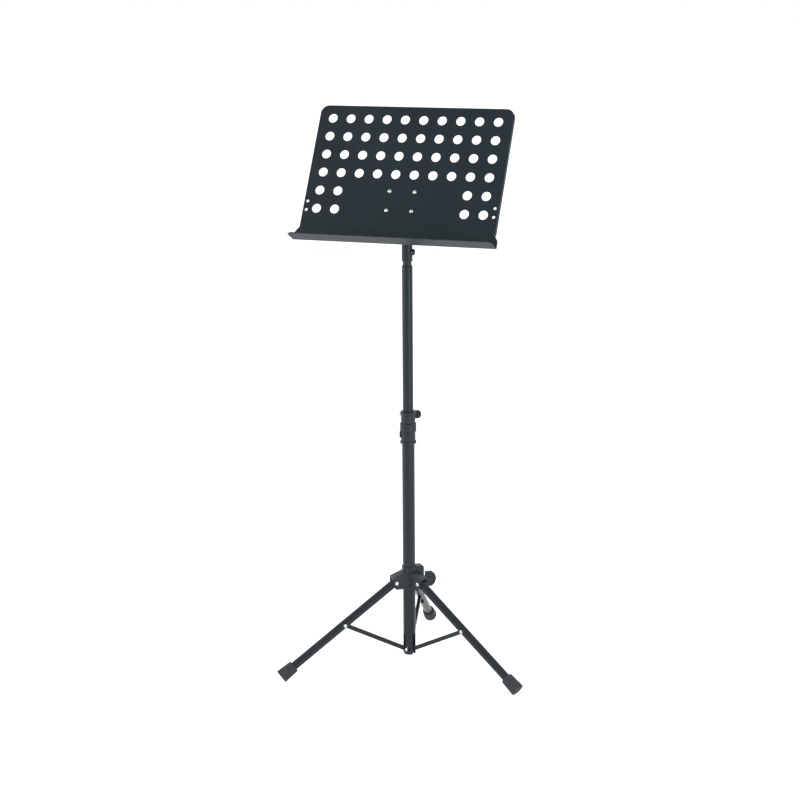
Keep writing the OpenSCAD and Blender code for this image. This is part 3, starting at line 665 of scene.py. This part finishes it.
def pin_of(joint):
    """A hinge's place in metres and the unit vector along its pin."""
    return np.array(JOINTS[joint]["pos_m"], float), unit(JOINTS[joint]["axis"])


def add_pin(shape, joint, r, half, head_at, head_t):
    """Adds a hinge's pin, of radius r and reaching half to each side, with a head at each end."""
    place_m, side = pin_of(joint)
    for s in (-1, 1):
        shape.add(domed(HEAD_D, head_t), along(s * side, place_m + s * side * head_at * MM))
    shape.add(turned([(0, -half), (r, -half), (r, half), (0, half)], 32), along(side, place_m))


def make_rivets():
    """Rivets with a domed head on both ends at the braces and the hub, and one head on each anchor."""
    for leg in LEGS:
        shape = Shape()
        add_pin(shape, f"brace_{leg}_fold", BRACE_PIN_R, BRACE_PIN_HALF, BRACE_HEAD_AT, BRACE_HEAD_T)
        fitted(settled(welded(f"brace_rivet_{leg}", shape), 35), ZINC, f"leg_{leg}", f"pin_{leg}")
    anchors, hub = Shape(), Shape()
    for leg in LEGS:
        place_m, side = pin_of(f"brace_{leg}_fold")
        out = np.cross(side, [0, 0, 1])
        out = out * np.sign(out @ place_m)
        seat = out * ANCHOR_OUT * MM - side * ANCHOR_HALF * MM + np.array([0, 0, ANCHOR_Z * MM])
        anchors.add(domed(HEAD_D, ANCHOR_HEAD_T), along(-side, seat))
        add_pin(hub, f"leg_{leg}_fold", HUB_PIN_R, HUB_PIN_HALF, HUB_PIN_HALF, HUB_HEAD_T)
    fitted(settled(welded("anchor_heads", anchors), 35), ZINC, "pole", "anchor_rivets")
    fitted(settled(welded("hub_rivets", hub), 35), ZINC, "hub", "hub_pins")


for body, material, bevel, nodes in (
        ("desk", TUBE_COAT, 0.5, ("desk_bracket",)),
        ("desk", ZINC, 0.2, ("bracket_screws", "bracket_nuts", "tilt_bolt", "tilt_nut")),
        ("desk", FIBRE, 0.15, ("tilt_washers",)),
        ("post", TUBE_COAT, 0.6, ("tilt_head",)),
        ("post", ZINC, 0.12, ("post_bush",)),
        ("locking_screw", ABS, 0.25, ("post_screw",)),
        ("mast", ABS, 0.3, ("guide_bush",)),
        ("pole", ABS, 0.5, ("clutch_body",)),
        ("pole", FIBRE, 0.15, ("clutch_liner",)),
        ("pole", ZINC, 0.2, ("clutch_nut",)),
        ("clutch_screw", ZINC, 0.3, ("clutch_bolt",)),
        ("clutch_screw", ABS, 0.6, ("clutch_knob",)),
        ("pole", TUBE_COAT, 0.2, ("lower_tube",)),
        ("pole", ABS, 0.3, ("pole_foot",)),
        ("pole", ABS, 0.1, ("anchor_rivets",)),
        ("hub", ABS, 0.7, ("hub_body",)),
        ("hub", ZINC, 0.2, ("hub_nut",)),
        ("hub", FIBRE, 0.2, ("hub_shoe",)),
        ("hub_screw", ZINC, 0.3, ("hub_bolt",)),
        ("hub_screw", ABS, 1.0, ("hub_knob",)),
        *((f"leg_{leg}", TUBE_COAT, 0.2, (f"leg_{leg}",)) for leg in LEGS),
        *((f"brace_{leg}", TUBE_COAT, 0.4, (f"brace_{leg}",)) for leg in LEGS)):
    for node in nodes:
        fitted(finished(node, bevel), material, body, node)

make_tubes()
make_neck()
make_feet()
make_rivets()


# ------------------------------------------------------------------ stage, light and camera
def make_stage():
    """Pale floor that a camera or reflection sees as white but that keeps the object's shadow."""
    mesh = bpy.data.meshes.new("floor")
    far_m = 30.0
    corners = [(-far_m, -far_m, 0), (far_m, -far_m, 0), (far_m, far_m, 0), (-far_m, far_m, 0)]
    mesh.from_pydata(corners, [], [(0, 1, 2, 3)])
    floor = linked("floor", mesh)
    f = Finish("floor_paper")
    seen = f.node("ShaderNodeLightPath", out=0)
    mirror = f.node("ShaderNodeLightPath", out=3)
    paper = f.node("ShaderNodeBsdfDiffuse", (FLOOR_SHADE, FLOOR_SHADE, FLOOR_SHADE, 1))
    glow = f.node("ShaderNodeEmission", (1, 1, 1, 1), FLOOR_GLOW)
    both = f.node("ShaderNodeAddShader", paper, glow)
    mixed = f.node("ShaderNodeMixShader", seen._math("MAXIMUM", seen, mirror), paper, both)
    out = f.nodes.new("ShaderNodeOutputMaterial")
    f.links.new(mixed.socket, out.inputs["Surface"])
    mesh.materials.append(f.material)


def make_world():
    """Soft fill light on surfaces, and plain white for camera, mirror and clear rays."""
    world = bpy.data.worlds.new("studio")
    bpy.context.scene.world = world
    world.use_nodes = True
    tree = world.node_tree
    tree.nodes.clear()
    path = tree.nodes.new("ShaderNodeLightPath")
    fill, white = tree.nodes.new("ShaderNodeBackground"), tree.nodes.new("ShaderNodeBackground")
    fill.inputs[0].default_value = (0.92, 0.97, 1.0, 1)
    fill.inputs[1].default_value = FILL
    white.inputs[0].default_value = (1, 1, 1, 1)
    white.inputs[1].default_value = 1.0
    mix, out = tree.nodes.new("ShaderNodeMixShader"), tree.nodes.new("ShaderNodeOutputWorld")
    seen = path.outputs["Is Camera Ray"]
    for ray in ("Is Glossy Ray", "Is Transmission Ray"):
        either = tree.nodes.new("ShaderNodeMath")
        either.operation = "MAXIMUM"
        tree.links.new(seen, either.inputs[0])
        tree.links.new(path.outputs[ray], either.inputs[1])
        seen = either.outputs[0]
    tree.links.new(seen, mix.inputs[0])
    tree.links.new(fill.outputs[0], mix.inputs[1])
    tree.links.new(white.outputs[0], mix.inputs[2])
    tree.links.new(mix.outputs[0], out.inputs[0])


def softbox(name, place_m, aim_m, wide, tall, watts):
    """Rectangular lamp, its sides in metres, turned to face a point."""
    data = bpy.data.lights.new(name, "AREA")
    data.shape, data.size, data.size_y, data.energy = "RECTANGLE", wide, tall, watts
    lamp = linked(name, data)
    lamp.location = place_m
    lamp.rotation_euler = (Vector(aim_m) - Vector(place_m)).to_track_quat("-Z", "Y").to_euler()


def make_camera():
    """Camera by yaw, pitch and roll about its own place."""
    place_m = (1.53082, -4.06615, 1.66631)
    yaw, pitch, roll = (math.radians(a) for a in (20.879, 13.055, -0.4136))
    data = bpy.data.cameras.new("camera")
    data.sensor_width, data.lens = 36.0, 85.41
    data.clip_end = 100
    camera = linked("camera", data)
    level = Matrix.Rotation(yaw, 4, "Z") @ Matrix.Rotation(math.pi / 2 - pitch, 4, "X")
    camera.matrix_world = Matrix.Translation(place_m) @ level @ Matrix.Rotation(roll, 4, "Z")
    bpy.context.scene.camera = camera


FILL = 0.55
FLOOR_SHADE, FLOOR_GLOW = 0.86, 0.78
make_stage()
make_world()
softbox("key", (-3.2, -1.6, 1.7), (0, 0, 0.7), 1.2, 2.2, 60)
softbox("side", (2.6, -1.5, 1.3), (0, 0, 0.7), 0.25, 2.6, 34)
softbox("back", (-0.6, 2.6, 2.4), (0, 0, 0.8), 2.0, 1.6, 14)
make_camera()
bpy.context.scene.view_settings.view_transform = "Standard"
